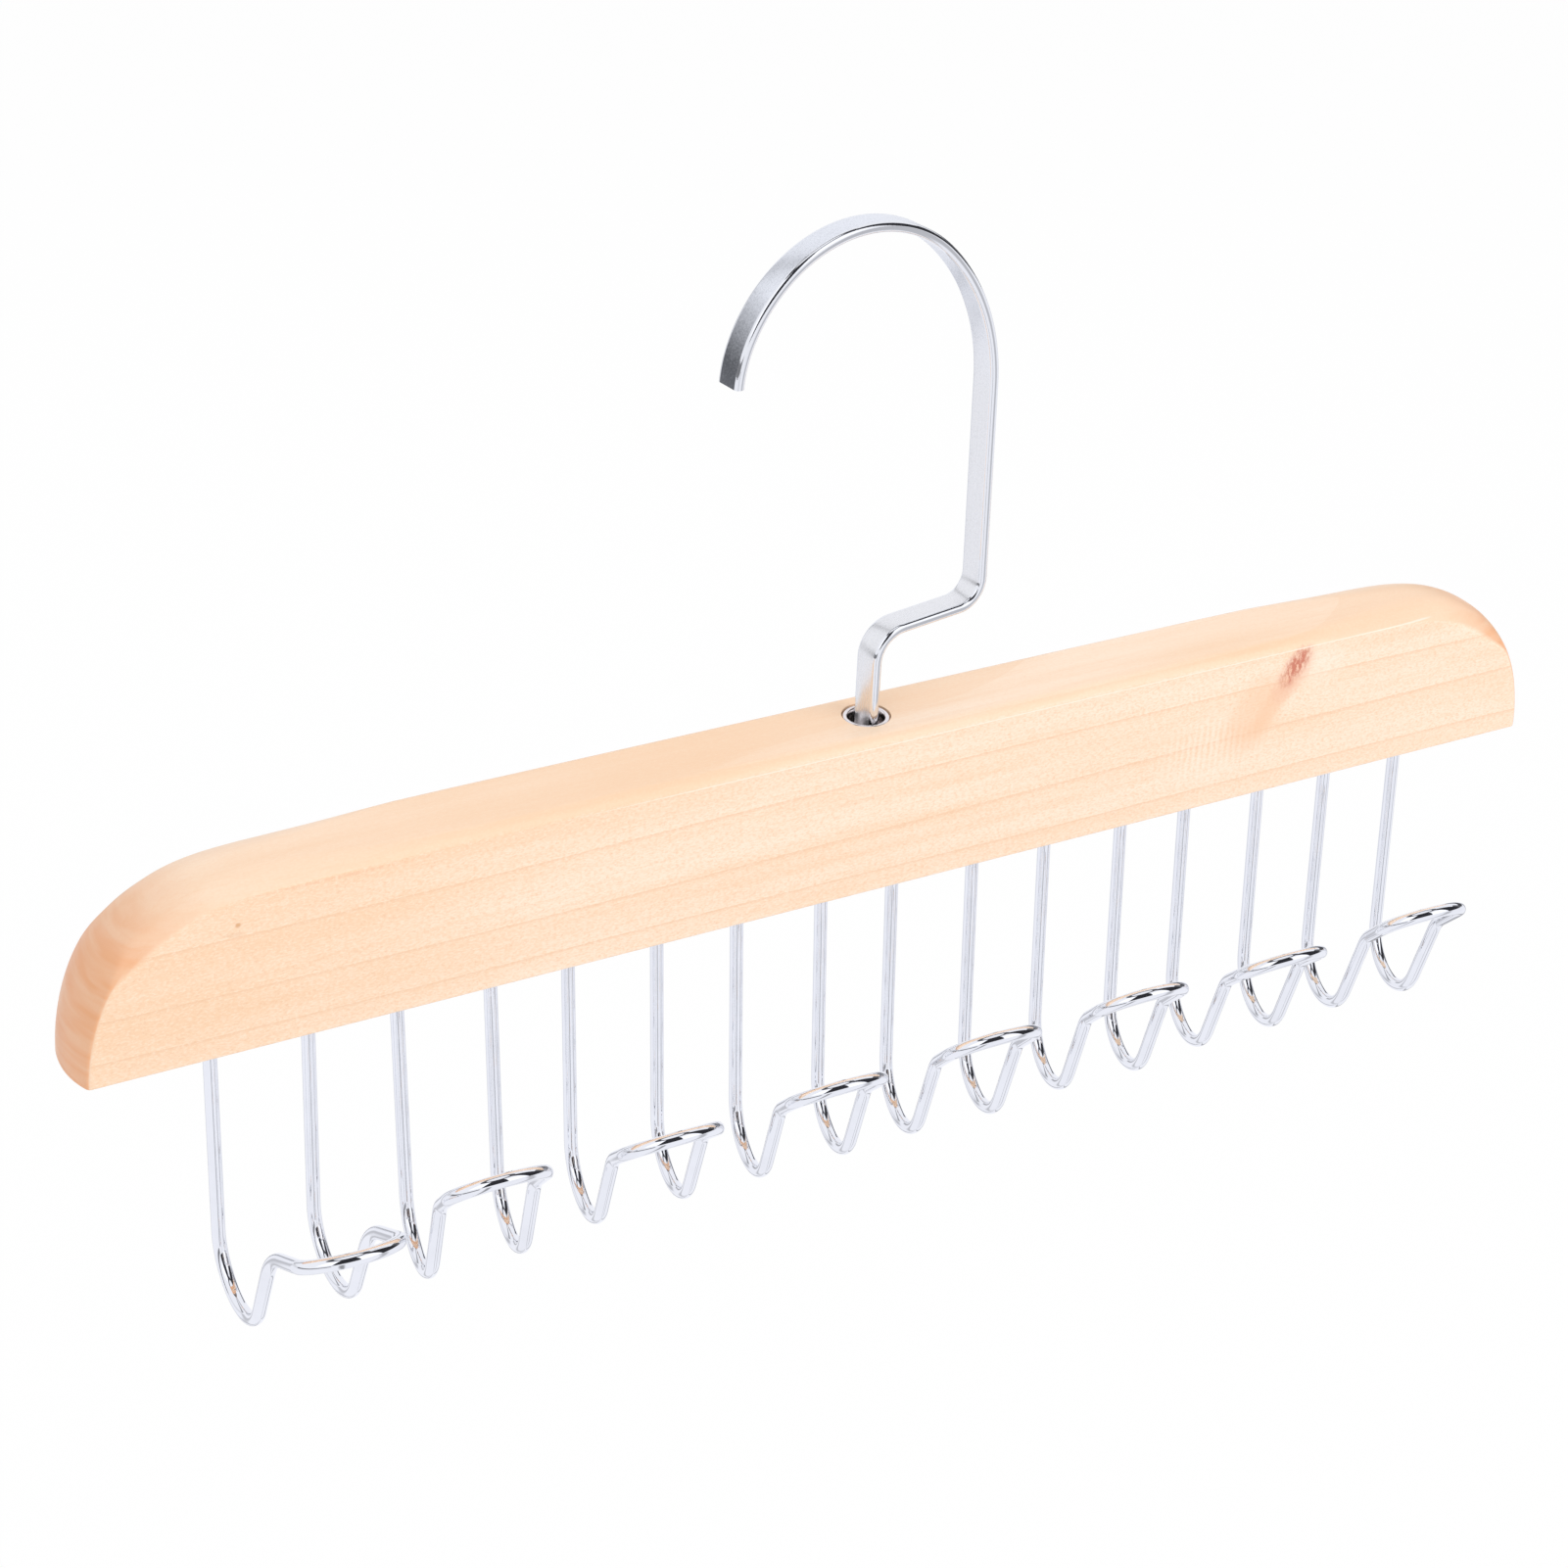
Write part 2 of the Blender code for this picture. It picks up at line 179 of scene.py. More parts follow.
floor_mesh = bpy.data.meshes.new("studio_floor")
floor_shape = bmesh.new()
bmesh.ops.create_circle(floor_shape, cap_ends=True, segments=floor_facets, radius=floor_radius)
bmesh.ops.translate(floor_shape, verts=floor_shape.verts[:], vec=(0.0, 0.0, -floor_drop))
floor_shape.to_mesh(floor_mesh)
floor_shape.free()
floor = bpy.data.objects.new("studio_floor", floor_mesh)
bpy.context.scene.collection.objects.link(floor)

floor_paint, tree, output = new_material("pale_floor")
lit_floor = add_node(tree, "ShaderNodeBsdfDiffuse", {"Color": floor_colour})
seen = add_node(tree, "ShaderNodeLightPath")
plan = add_node(tree, "ShaderNodeTexCoord").outputs["Object"]
around = add_node(tree, "ShaderNodeTexGradient", {"Vector": plan}, gradient_type="RADIAL").outputs["Fac"]
stands = add_node(tree, "ShaderNodeValToRGB", {"Fac": around})
ramp_stops(stands, stands_round)
stands = blended(tree, stands.outputs[0], room_dark, metal_floor)
glow_colour = blended(tree, seen.outputs["Is Glossy Ray"], room_white, stands)
glow = add_node(tree, "ShaderNodeEmission", {"Color": glow_colour, "Strength": 1.0})
glowing_floor = add_node(tree, "ShaderNodeMixShader", {
    "Fac": floor_glow, 1: lit_floor.outputs[0], 2: glow.outputs[0],
})
seen_white = worked(tree, "MAXIMUM", seen.outputs["Is Camera Ray"], seen.outputs["Is Glossy Ray"])
seen_white = worked(tree, "MAXIMUM", seen_white, seen.outputs["Is Transmission Ray"])
seen_floor = add_node(tree, "ShaderNodeMixShader", {
    "Fac": seen_white, 1: lit_floor.outputs[0], 2: glowing_floor.outputs[0],
})
tree.links.new(seen_floor.outputs[0], output.inputs["Surface"])
floor_mesh.materials.append(floor_paint)

world = bpy.data.worlds.new("studio_room")
bpy.context.scene.world = world
world.use_nodes = True
tree = world.node_tree
tree.nodes.clear()
seen = add_node(tree, "ShaderNodeLightPath")
direction = add_node(tree, "ShaderNodeTexCoord").outputs["Generated"]
height = add_node(tree, "ShaderNodeSeparateXYZ", {0: direction}).outputs["Z"]
climb = ranged(tree, worked(tree, "ARCSINE", height, 0.0), -math.pi / 2, math.pi / 2, -90.0, 90.0)
around = add_node(tree, "ShaderNodeTexGradient", {"Vector": direction}, gradient_type="RADIAL")
around = ranged(tree, around.outputs["Fac"], 0.0, 1.0, -180.0, 180.0)


def between(value, low, high):
    """1 from the low angle to the high one, fading to 0 beyond them."""
    from_low = ranged(tree, value, low - panel_fade, low)
    return worked(tree, "MINIMUM", from_low, ranged(tree, value, high + panel_fade, high))


def panel_share(left, right, foot, top):
    """1 on a panel of the room and 0 off it."""
    return worked(tree, "MINIMUM", between(around, left, right), between(climb, foot, top))


dark_share = 0.0
for left, right, foot, top, darkness in dark_panels:
    panel = worked(tree, "MULTIPLY", panel_share(left, right, foot, top), darkness)
    dark_share = worked(tree, "MAXIMUM", dark_share, panel)
reflected = blended(tree, dark_share, metal_white, room_dark)
bright_share = 0.0
for sides_and_ends in bright_panels:
    bright_share = worked(tree, "MAXIMUM", bright_share, panel_share(*sides_and_ends))
reflected_strength = ranged(tree, bright_share, 0.0, 1.0, 1.0, bright_panel_strength)
lit_room = add_node(tree, "ShaderNodeBackground", {"Color": room_white, "Strength": room_light})
metal_room = add_node(tree, "ShaderNodeBackground", {"Color": reflected, "Strength": reflected_strength})
white_room = add_node(tree, "ShaderNodeBackground", {"Color": room_white, "Strength": 1.0})
for_metal = add_node(tree, "ShaderNodeMixShader", {
    "Fac": seen.outputs["Is Glossy Ray"], 1: lit_room.outputs[0], 2: metal_room.outputs[0],
})
seen_white = worked(tree, "MAXIMUM", seen.outputs["Is Camera Ray"], seen.outputs["Is Transmission Ray"])
for_camera = add_node(tree, "ShaderNodeMixShader", {
    "Fac": seen_white, 1: for_metal.outputs[0], 2: white_room.outputs[0],
})
output = add_node(tree, "ShaderNodeOutputWorld", {"Surface": for_camera.outputs[0]})


def soft_box(name, place, size, power):
    """A square lamp that faces the hanger. Metal and lacquer mirror the white room in its place."""
    lamp = bpy.data.lights.new(name, "AREA")
    lamp.size = size
    lamp.energy = power
    box = bpy.data.objects.new(name, lamp)
    box.visible_glossy = False
    bpy.context.scene.collection.objects.link(box)
    turn = (lamps_aim - place).to_track_quat("-Z", "Y")
    box.matrix_world = Matrix.Translation(place) @ turn.to_matrix().to_4x4()


soft_box("key_soft_box", key_box_place, key_box_size, key_box_power)
soft_box("front_soft_box", front_box_place, front_box_size, front_box_power)
soft_box("back_soft_box", back_box_place, back_box_size, back_box_power)

# Wood bar
# One length of pale close-grained wood under clear lacquer. Its front and back are planed flat, and its top
# is flat with both edges rounded over, more so on the noses. The front crease is sanded away at the
# shoulders.
bar_low, bar_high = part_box("wood_bar")
underside = bar_low.z
half_thickness = bar_high.y
front_y = -half_thickness
face_height = 0.0305
end_reach = 0.061
edge_rise = 0.0019
edge_run = 0.00225
nose_edge_run = 0.0083
end_rise_power = 2 / 1.74
end_reach_power = 2 / 6.1
half_length = bar_high.x - edge_rise
upright = math.radians(90)
nearly_none = 1e-6

# The rounded edge narrows inwards from the bar's ends in two overlapping stretches
early_narrowing = (0.0, 0.030)
early_narrowing_share = 0.2
main_narrowing = (0.024, 0.066)
main_narrowing_share = 0.8

# The front crease's radius, what easing and sanding add to it, and the angles up the bar's end between
# which each comes in or dies away
crease_radius = 0.00045
eased_more = 0.0007
easing_ends = (math.radians(60), math.radians(84))
sanded_more = 0.0034
sanding_starts = (math.radians(38), math.radians(56))
sanding_ends = (math.radians(64), math.radians(84))

flat_margin = 0.0015
bottom_round = 0.00035
bottom_round_steps = 3
facing_down = -0.9
end_grain_edge = 0.0003

# How finely the bar is stepped: up each end, at the last insets before its straight part, along its middle,
# and across its edges, its flat top and its crease
end_stations = 56
late_insets = (0.045, 0.048, 0.051, 0.054, 0.0575)
middle_stations = 16
edge_steps = 12
flat_steps = 6
crease_steps = 6

# The swivel's socket and the holes for the loops' legs
ferrule_low, ferrule_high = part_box("ferrule")
rim_height = ferrule_high.z
rim_radius = ferrule_high.x
rim_thickness = 0.0006
socket_radius = 0.0041
socket_depth = 0.0118
socket_steps = 64
hole_facets = 24
cut_overrun = 0.002
fit_gap = 0.00010
merge_distance = 1e-6
wire_radius = 0.00125
leg_spacing = 0.0178
leg_depth = 0.015
leg_end_gap = 0.0003
loop_pitch = 0.033657

# Each loop's lean to the front and to the left, in degrees, and its shift along the row in wire thicknesses
loop_stands = [
    (0.2, 0.5, 0.00), (7.8, 1.7, 0.18), (4.1, 0.6, -0.08), (5.9, 1.4, 0.14),
    (7.6, 2.7, -0.09), (7.6, 2.7, 0.07), (5.4, 1.2, -0.23), (7.5, 3.3, 0.02),
]


def smooth_step(value, start, end):
    """From 0 at the start to 1 at the end, with no corner at either."""
    share = min(max((value - start) / (end - start), 0.0), 1.0)
    return share * share * (3 - 2 * share)


def end_station(angle):
    """Inset from the bar's end, height above the underside and outward way, up one rounded end."""
    sine = math.sin(angle)
    cosine = max(math.cos(angle), nearly_none)
    inset = end_reach * (1 - cosine ** end_reach_power)
    height = face_height * sine ** end_rise_power
    inset_rate = end_reach * end_reach_power * cosine ** (end_reach_power - 1) * sine
    height_rate = face_height * end_rise_power * max(sine, nearly_none) ** (end_rise_power - 1) * cosine
    length = math.hypot(inset_rate, height_rate)
    return inset, height, -height_rate / length, inset_rate / length


def edge_run_at(inset):
    """How far in across the bar its edge is rounded over, at an inset from the bar's end."""
    early = early_narrowing_share * smooth_step(inset, *early_narrowing)
    share = early + main_narrowing_share * smooth_step(inset, *main_narrowing)
    return nose_edge_run + (edge_run - nose_edge_run) * share


def crease_radius_at(angle):
    """How round the crease is: eased up the nose, sanded away over the shoulder, crisp along the top."""
    eased = 1 - smooth_step(angle, *easing_ends)
    sanded = smooth_step(angle, *sanding_starts) * (1 - smooth_step(angle, *sanding_ends))
    return crease_radius + eased_more * eased + sanded_more * sanded


def across_section(run, round_radius):
    """Places across the bar and heights over the outline: front crease, its edge, flat top and back."""
    big_radius = (run ** 2 + edge_rise ** 2) / (2 * edge_rise)
    big_across = run - half_thickness
    big_centre = edge_rise - big_radius
    small_across = round_radius - half_thickness
    small_rise = big_centre + math.sqrt((big_radius - round_radius) ** 2 - (run - round_radius) ** 2)
    meet = math.atan2(run - round_radius, small_rise - big_centre)
    points = [(-half_thickness, small_rise - flat_margin)]
    for step in range(crease_steps):
        at = upright + (meet - upright) * step / crease_steps
        across = small_across - round_radius * math.sin(at)
        points.append((across, small_rise + round_radius * math.cos(at)))
    for step in range(edge_steps + 1):
        at = meet * (1 - step / edge_steps)
        points.append((big_across - big_radius * math.sin(at), big_centre + big_radius * math.cos(at)))
    flat = [(big_across * (1 - 2 * step / flat_steps), edge_rise) for step in range(1, flat_steps)]
    return points + flat + [(-across, rise) for across, rise in points[::-1]]


def bar_stations():
    """Place, height, outward way, edge run and crease radius at each station from left to right."""
    rows = []
    angles = [upright * step / end_stations for step in range(end_stations)]
    angles += [math.acos((1 - inset / end_reach) ** (1 / end_reach_power)) for inset in late_insets]
    for angle in angles:
        inset, height, out_x, out_z = end_station(angle)
        place = -half_length + inset
        rows.append((place, height, out_x, out_z, edge_run_at(inset), crease_radius_at(angle)))
    straight = half_length - end_reach
    middle = []
    for step in range(middle_stations + 1):
        place = straight * (2 * step / middle_stations - 1)
        run = edge_run_at(half_length - abs(place))
        middle.append((place, face_height, 0.0, 1.0, run, crease_radius_at(upright)))
    right = [(-x, z, -out_x, out_z, run, crease) for x, z, out_x, out_z, run, crease in rows[::-1]]
    return rows + middle + right


def bar_blank():
    """Bend a grid over the bar's edge, then close its front, its back and its underside."""
    rows = bar_stations()
    sections = [across_section(row[4], row[5]) for row in rows]
    columns = len(sections[0])
    shape = bmesh.new()
    bmesh.ops.create_grid(shape, x_segments=len(rows) - 1, y_segments=columns - 1, size=1.0)
    end_grain = shape.verts.layers.float.new("end_grain")
    first, last, near, far = [], [], [], []
    for vert in shape.verts:
        i = round((vert.co.x + 1) / 2 * (len(rows) - 1))
        j = round((vert.co.y + 1) / 2 * (columns - 1))
        x, z, out_x, out_z = rows[i][:4]
        across, rise = sections[i][j]
        vert.co = (x + out_x * rise, across, underside + z + out_z * rise)
        off_face = 1 - smooth_step(abs(across), half_thickness - end_grain_edge, half_thickness)
        vert[end_grain] = abs(out_x) * off_face
        if i == 0:
            first.append(vert)
        if i == len(rows) - 1:
            last.append(vert)
        if j == 0:
            near.append(vert)
        if j == columns - 1:
            far.append(vert)
    for line in (near, far):
        ends = [vert for vert in line if vert in first or vert in last]
        shape.edges.new(ends)
    for loop in (near, far, first + last):
        chosen = set(loop)
        rim = [edge for edge in shape.edges if chosen.issuperset(edge.verts) and len(edge.link_faces) < 2]
        bmesh.ops.contextual_create(shape, geom=rim)
    bmesh.ops.recalc_face_normals(shape, faces=shape.faces[:])
    below = [face for face in shape.faces if face.normal.z < facing_down and len(face.verts) > 4]
    bmesh.ops.bevel(
        shape, geom=list({edge for face in below for edge in face.edges}), offset=bottom_round,
        offset_type="OFFSET", segments=bottom_round_steps, profile=0.5, affect="EDGES",
        clamp_overlap=False, material=-1,
    )
    return shape


def loop_stand(i):
    """Where a loop stands in the bar, with its leans and its shift along the row."""
    lean, side_lean, shift = loop_stands[i]
    place = (i - (len(loop_stands) - 1) / 2) * loop_pitch + shift * 2 * wire_radius
    turn = Euler((-math.radians(lean), math.radians(side_lean), 0.0))
    return Matrix.Translation((place, 0.0, underside)) @ turn.to_matrix().to_4x4()


def spun(shape, outline, steps, closed=False):
    """Spin an outline of radius and height points all the way round the swivel axis."""
    points = [shape.verts.new((radius, 0.0, height)) for radius, height in outline]
    following = points[1:] + points[:1] if closed else points[1:]
    line = [shape.edges.new(pair) for pair in zip(points, following)]
    bmesh.ops.spin(
        shape, geom=points + line, cent=(0.0, 0.0, 0.0), axis=(0.0, 0.0, 1.0),
        angle=math.radians(360), steps=steps, use_merge=True,
    )
    bmesh.ops.remove_doubles(shape, verts=shape.verts[:], dist=merge_distance)


def bar_borings():
    """The swivel's stepped socket and sixteen holes for the loops' legs, as one cutter."""
    shape = bmesh.new()
    above = bar_high.z + cut_overrun
    seat = rim_height - rim_thickness - fit_gap
    foot = rim_height - socket_depth
    outline = [
        (0.0, above), (rim_radius + fit_gap, above), (rim_radius + fit_gap, seat),
        (socket_radius, seat), (socket_radius, foot), (0.0, foot),
    ]
    spun(shape, outline, socket_steps)
    depth = leg_depth + leg_end_gap + cut_overrun
    for i in range(len(loop_stands)):
        for side in (-1, 1):
            leg = Matrix.Translation((side * leg_spacing / 2, 0.0, depth / 2 - cut_overrun))
            bmesh.ops.create_cone(
                shape, cap_ends=True, segments=hole_facets, depth=depth, radius1=wire_radius + fit_gap,
                radius2=wire_radius + fit_gap, matrix=loop_stand(i) @ leg,
            )
    bmesh.ops.recalc_face_normals(shape, faces=shape.faces[:])
    return shape


def piece_from(shape, name):
    """An object from a finished bmesh, at the origin."""
    mesh = bpy.data.meshes.new(name)
    shape.to_mesh(mesh)
    shape.free()
    made = bpy.data.objects.new(name, mesh)
    bpy.context.scene.collection.objects.link(made)
    return made


def shade(piece, sharp_from):
    """Smooth shading that breaks at edges sharper than an angle."""
    piece.data.shade_smooth()
    piece.data.set_sharp_from_angle(angle=math.radians(sharp_from))


def bore(piece, cutter):
    """Cut one object out of another for good, and drop the cutter."""
    cut = piece.modifiers.new("bore", "BOOLEAN")
    cut.operation = "DIFFERENCE"
    cut.solver = "EXACT"
    cut.object = cutter
    bpy.context.view_layer.update()
    bored = piece.evaluated_get(bpy.context.evaluated_depsgraph_get())
    cut_mesh = bpy.data.meshes.new_from_object(bored)
    piece.modifiers.clear()
    piece.data = cut_mesh
    bpy.data.objects.remove(cutter)


wood_bar = piece_from(bar_blank(), "lacquered_bar")
bore(wood_bar, piece_from(bar_borings(), "bar_borings"))
shade(wood_bar, sharp_from=24)

wood_base = (0.932, 0.672, 0.470, 1.0)
wood_pale = (0.970, 0.772, 0.606, 1.0)
wood_deep = (0.900, 0.590, 0.365, 1.0)
wood_line = (0.840, 0.500, 0.285, 1.0)
wood_end = (0.870, 0.435, 0.225, 1.0)
# Pale colour of the grain's flecks and ripples, also used for the painted highlight along the crease
pale_grain_and_highlight = (0.985, 0.860, 0.740, 1.0)
knot_colour = (0.620, 0.200, 0.125, 1.0)
knot_halo = (0.850, 0.470, 0.320, 1.0)
smear_colour = (0.890, 0.540, 0.330, 1.0)
pin_colour = (0.660, 0.310, 0.120, 1.0)

# How squarely a surface looks to the front or the back to count as a flat face, where along the bar the flat
# faces go from deeper to paler and by how much, and how much of the flecks is left off the flat faces
flat_face_squareness = (0.90, 0.985)
paler_places = (-0.13, 0.03)
paler_amounts = (-0.12, 0.22)
fleck_share_off_face = 0.30

# How fine each pattern of the grain is along, across and up the bar
drift_scale = (11.0, 40.0, 75.0)
band_scale = (7.0, 120.0, 210.0)
streak_scale = (40.0, 1000.0, 1500.0)
fleck_scale = (1400.0, 2800.0, 3000.0)
pore_scale = (1500.0, 3000.0, 2600.0)
ring_stretch = (0.07, 0.20, 1.0)
cut_ring_scale = (60.0, 60.0, 420.0)
feather_scale = (1300.0, 300.0, 600.0)

# Marks on the front: colour, feathering and strength, then the place along and up and the half sizes along
# and up, in millimetres, and the turn in degrees
front_marks = [
    (pale_grain_and_highlight, "ripple", 0.38, 73.0, 13.0, 17.0, 10.0, 0.0),
    (pale_grain_and_highlight, "soft", 0.28, 97.0, 26.0, 8.0, 6.0, 12.0),
    (smear_colour, "soft", 0.46, 82.6, 18.2, 8.0, 11.5, 33.0),
    (smear_colour, "soft", 0.42, 86.2, 18.8, 3.2, 10.5, 33.0),
    (knot_halo, "soft", 0.66, 90.8, 25.2, 4.4, 8.0, 34.0),
    (knot_colour, "torn", 0.98, 91.2, 26.9, 3.0, 5.8, 34.0),
    (pin_colour, "soft", 0.18, -124.2, 23.4, 2.4, 0.7, 8.0),
    (pin_colour, "none", 0.70, -123.4, 25.1, 0.68, 0.62, 0.0),
    (smear_colour, "torn", 0.62, -104.0, 29.8, 19.0, 0.50, 0.0),
]
mark_depth = 0.0012
mark_edge = 0.05
mark_full = 0.62

# A painted highlight: a pale line along the crease where its rounded edge catches the light, which fades in
# left of the bar's middle
crease_highlight_height = underside + face_height - 0.0001
crease_highlight_width = 0.00016
crease_highlight_core = 0.00005
crease_highlight_depth = (0.0009, 0.0005)
crease_highlight_start = (-0.070, -0.035)
crease_highlight_strength = 0.85


def mapped(tree, coords, scale):
    """Coordinates stretched by a scale, for a pattern that is finer one way than another."""
    return add_node(tree, "ShaderNodeMapping", {"Vector": coords, "Scale": scale}).outputs[0]


def mottle(tree, coords, scale, detail=3.0, roughness=0.55, distortion=0.0):
    """Cloudy noise from 0 to 1, as fine each way as its scale says."""
    return add_node(tree, "ShaderNodeTexNoise", {
        "Vector": mapped(tree, coords, scale), "Scale": 1.0, "Detail": detail, "Roughness": roughness,
        "Distortion": distortion,
    }).outputs[0]


def mark_spot(tree, coords, along, up, half_along, half_up, turn):
    """A soft spot on the bar's front: 1 at its middle, 0 beyond its size."""
    local = add_node(tree, "ShaderNodeMapping", {
        "Vector": coords,
        "Location": (along / 1000, front_y, underside + up / 1000),
        "Rotation": (0.0, math.radians(turn), 0.0),
        "Scale": (half_along / 1000, mark_depth, half_up / 1000),
    }, vector_type="TEXTURE").outputs[0]
    spot = add_node(tree, "ShaderNodeTexGradient", {"Vector": local}, gradient_type="SPHERICAL")
    return spot.outputs["Fac"]


def wood_finish():
    """Pale close-grained wood: long faint bands, fine streaks, pore flecks, one knot, a painted highlight
    along the crease, and clear lacquer.
    """
    material, tree, output = new_material("lacquered_wood")
    texture = add_node(tree, "ShaderNodeTexCoord")
    coords = texture.outputs["Object"]
    place = add_node(tree, "ShaderNodeSeparateXYZ", {0: coords})
    facing = add_node(tree, "ShaderNodeSeparateXYZ", {0: texture.outputs["Normal"]})
    flat_face = ranged(tree, worked(tree, "ABSOLUTE", facing.outputs["Y"], 0.0), *flat_face_squareness)
    mostly_face = ranged(tree, flat_face, 0.0, 1.0, fleck_share_off_face, 1.0)

    drift = mottle(tree, coords, drift_scale, detail=2.0)
    paler_right = ranged(tree, place.outputs["X"], *paler_places, *paler_amounts)
    drift = worked(tree, "ADD", drift, worked(tree, "MULTIPLY", paler_right, flat_face))
    bands = mottle(tree, coords, band_scale, detail=4.0, roughness=0.6, distortion=0.2)
    streaks = mottle(tree, coords, streak_scale, detail=3.0)
    flecks = mottle(tree, coords, fleck_scale, detail=2.0, roughness=0.7)
    pores = mottle(tree, coords, pore_scale, detail=1.0, roughness=0.6)
    rings = add_node(tree, "ShaderNodeTexWave", {
        "Vector": mapped(tree, coords, ring_stretch), "Scale": 34.0, "Distortion": 3.2,
        "Detail": 2.0, "Detail Scale": 1.1, "Detail Roughness": 0.5,
    }, wave_type="BANDS", bands_direction="Z", wave_profile="SAW").outputs["Fac"]

    colour = blended(tree, ranged(tree, drift, 0.32, 0.68), wood_base, wood_pale)
    # Each layer: its pattern, the levels it fades in between, its strength, where it shows, and its colour
    for pattern, low, high, strength, where, tint in (
        (bands, 0.46, 0.74, 0.60, None, wood_deep),
        (rings, 0.40, 1.0, 0.30, None, wood_deep),
        (rings, 0.92, 1.0, 0.50, flat_face, wood_line),
        (streaks, 0.50, 0.74, 0.28, None, wood_deep),
        (flecks, 0.50, 0.66, 0.58, mostly_face, wood_deep),
        (flecks, 0.49, 0.34, 0.34, mostly_face, pale_grain_and_highlight),
        (pores, 0.60, 0.75, 0.40, mostly_face, wood_line),
    ):
        share = ranged(tree, pattern, low, high, 0.0, strength)
        if where:
            share = worked(tree, "MULTIPLY", share, where)
        colour = blended(tree, share, colour, tint)

    end_grain = add_node(tree, "ShaderNodeAttribute", attribute_name="end_grain").outputs["Fac"]
    cut_rings = mottle(tree, coords, cut_ring_scale, detail=2.0, distortion=0.4)
    cut_rings = ranged(tree, cut_rings, 0.36, 0.60, 0.66, 1.0)
    end_share = worked(tree, "MULTIPLY", ranged(tree, end_grain, 0.14, 0.80), cut_rings)
    colour = blended(tree, end_share, colour, wood_end)

    feather = mottle(tree, coords, feather_scale, detail=4.0, roughness=0.7)
    ripple = add_node(tree, "ShaderNodeTexWave", {
        "Vector": coords, "Scale": 230.0, "Distortion": 2.5, "Detail": 2.0, "Detail Scale": 3.0,
    }, wave_type="BANDS", bands_direction="X", wave_profile="SIN").outputs["Fac"]
    feathers = {
        "torn": ranged(tree, feather, 0.40, 0.60, 0.10, 1.4),
        "soft": ranged(tree, feather, 0.2, 0.8, 0.75, 1.25),
        "ripple": ripple,
        "none": 1.0,
    }
    for tint, feathering, strength, *form in front_marks:
        spot = worked(tree, "MULTIPLY", mark_spot(tree, coords, *form), feathers[feathering])
        colour = blended(tree, ranged(tree, spot, mark_edge, mark_full, 0.0, strength), colour, tint)

    # Painted highlight: a pale line along the front crease, fading in left of the bar's middle
    near_front = ranged(tree, place.outputs["Y"], *(front_y + depth for depth in crease_highlight_depth))
    near_front = worked(tree, "MULTIPLY", near_front, ranged(tree, place.outputs["X"], *crease_highlight_start))
    off_line = worked(tree, "SUBTRACT", place.outputs["Z"], crease_highlight_height)
    off_line = worked(tree, "ABSOLUTE", off_line, 0.0)
    crease_highlight_share = ranged(tree, off_line, crease_highlight_width, crease_highlight_core)
    crease_highlight_share = worked(tree, "MULTIPLY", crease_highlight_share, near_front)
    colour = blended(tree, worked(tree, "MULTIPLY", crease_highlight_share, crease_highlight_strength), colour, pale_grain_and_highlight)

    relief = worked(tree, "MULTIPLY", worked(tree, "ADD", streaks, flecks), 0.5)
    bump = add_node(tree, "ShaderNodeBump", {"Strength": 0.12, "Distance": 0.0002, "Height": relief})
    sheen = ranged(tree, streaks, 0.3, 0.7, 0.46, 0.36)
    shader = add_node(tree, "ShaderNodeBsdfPrincipled", {
        "Base Color": colour, "Roughness": sheen, "IOR": 1.45, "Normal": bump.outputs[0],
        "Coat Weight": 0.18, "Coat Roughness": 0.26, "Coat IOR": 1.5,
    })
    tree.links.new(shader.outputs[0], output.inputs["Surface"])
    return material


wood_bar.data.materials.clear()
wood_bar.data.materials.append(wood_finish())
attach(wood_bar, "bar")
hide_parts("wood_bar")

# Ferrule
# A nickelled steel eyelet with a rolled rim, pressed into the bar's top. The hook turns in it, clear of its
# bore, and the hook's tenon passes through its floor.
ferrule_outer = 0.00381
ferrule_bore = 0.00331
ferrule_floor = 0.0008
ferrule_foot = ferrule_low.z
ferrule_corner = 0.0003
ferrule_facets = 72
tenon_hole = 0.0018
rim_roll = 0.00052
rim_roll_start = math.radians(-20)
rim_roll_sweep = math.radians(175)
rim_roll_steps = 8
rim_foot_inset = 0.0001
mouth_flare = 0.00012
mouth_top_drop = 0.0011
mouth_foot_drop = 0.0017
nickel_colour = (0.86, 0.81, 0.80, 1.0)

# How fine a metal's clouding and its rub marks are along, across and up
metal_cloud_scale = (160.0, 160.0, 160.0)
metal_rub_scale = (2600.0, 2600.0, 420.0)
metal_clouding = 0.86


def ferrule_blank():
    """Over the rolled rim, down the bore, through the floor and up the outside, spun into a ring."""
    roll_across = rim_radius - rim_roll
    roll_height = rim_height - rim_roll
    floor_top = ferrule_foot + ferrule_floor
    rim_foot = rim_height - rim_thickness
    roll = []
    for step in range(rim_roll_steps + 1):
        at = rim_roll_start + rim_roll_sweep * step / rim_roll_steps
        roll.append((roll_across + rim_roll * math.cos(at), roll_height + rim_roll * math.sin(at)))
    outline = roll + [
        (ferrule_bore + mouth_flare, rim_height - mouth_top_drop),
        (ferrule_bore, rim_height - mouth_foot_drop),
        (ferrule_bore, floor_top + ferrule_corner),
        (ferrule_bore - ferrule_corner, floor_top),
        (tenon_hole, floor_top),
        (tenon_hole, ferrule_foot),
        (ferrule_outer - ferrule_corner, ferrule_foot),
        (ferrule_outer, ferrule_foot + ferrule_corner),
        (ferrule_outer, rim_foot),
        (rim_radius - rim_foot_inset, rim_foot),
    ]
    shape = bmesh.new()
    spun(shape, outline, ferrule_facets, closed=True)
    bmesh.ops.recalc_face_normals(shape, faces=shape.faces[:])
    return shape


